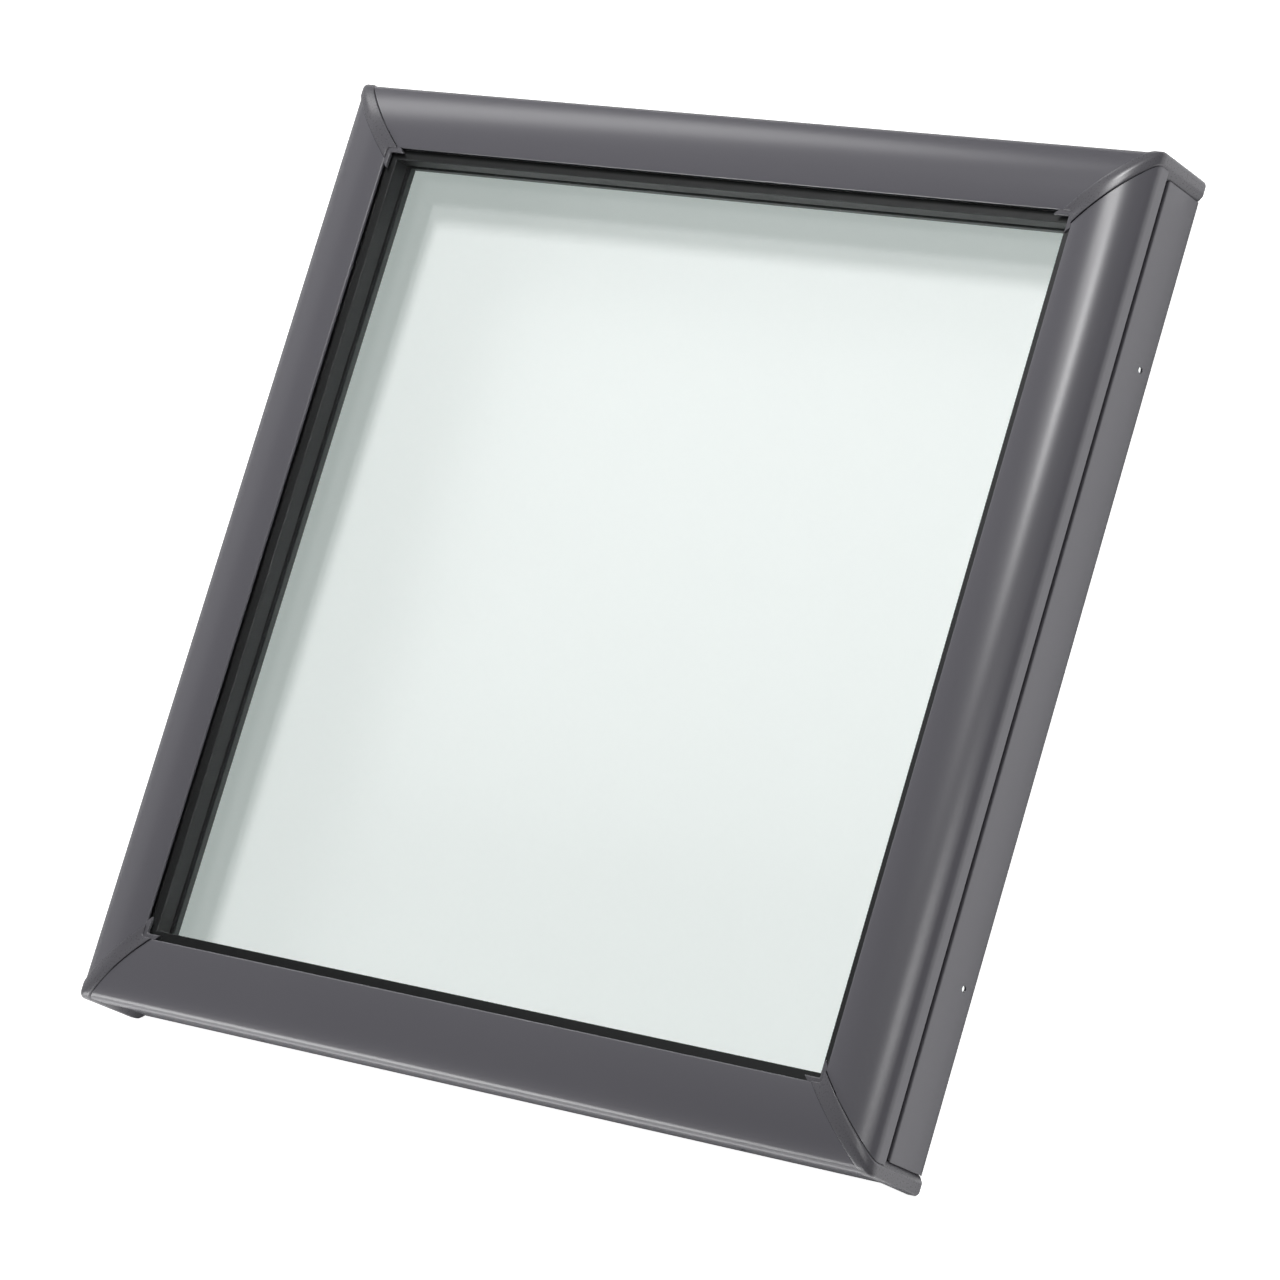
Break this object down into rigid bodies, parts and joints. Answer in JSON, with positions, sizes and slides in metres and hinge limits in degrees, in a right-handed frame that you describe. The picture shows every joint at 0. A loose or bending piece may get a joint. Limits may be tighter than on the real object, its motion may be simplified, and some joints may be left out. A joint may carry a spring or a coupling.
{
  "type": "roof skylight",
  "caption": "Fixed square roof skylight: a rounded grey aluminium frame on moulded corner keys holds a sealed glazing unit, and its skirt laps over a roof curb.",
  "frame": {"origin": "centre of the glazed opening, on the plane of the skirt's lower edge", "axes": "+Z out of the roof, +Y up the slope towards the head, +X to the right seen from outside"},
  "size_m": [0.696, 0.696, 0.0714],
  "materials": {
    "painted_aluminium": "satin grey paint",
    "key_moulding": "satin grey moulding",
    "liner_pvc": "dark satin",
    "gasket_rubber": "matt black",
    "curb_foam": "matt black foam",
    "clear_glass": "clear, slightly green",
    "black_spacer": "satin black",
    "sealant": "matt black",
    "setting_block": "matt",
    "zinc_steel": "zinc plated"
  },
  "bodies": {
    "root": {"head_profile": "painted_aluminium", "head_liner": "liner_pvc", "head_glazing_gasket": "gasket_rubber", "head_support_gasket": "gasket_rubber", "head_curb_gasket": "curb_foam", "left_profile": "painted_aluminium", "left_liner": "liner_pvc", "left_glazing_gasket": "gasket_rubber", "left_support_gasket": "gasket_rubber", "left_curb_gasket": "curb_foam", "sill_profile": "painted_aluminium", "sill_liner": "liner_pvc", "sill_glazing_gasket": "gasket_rubber", "sill_support_gasket": "gasket_rubber", "sill_curb_gasket": "curb_foam", "right_profile": "painted_aluminium", "right_liner": "liner_pvc", "right_glazing_gasket": "gasket_rubber", "right_support_gasket": "gasket_rubber", "right_curb_gasket": "curb_foam", "head_right_key": "key_moulding", "head_left_key": "key_moulding", "sill_left_key": "key_moulding", "sill_right_key": "key_moulding", "outer_pane": "clear_glass", "inner_pane": "clear_glass", "spacer_frame": "black_spacer", "edge_seal": "sealant", "setting_blocks": "setting_block", "corner_screws": "zinc_steel"}
  },
  "joints": []
}
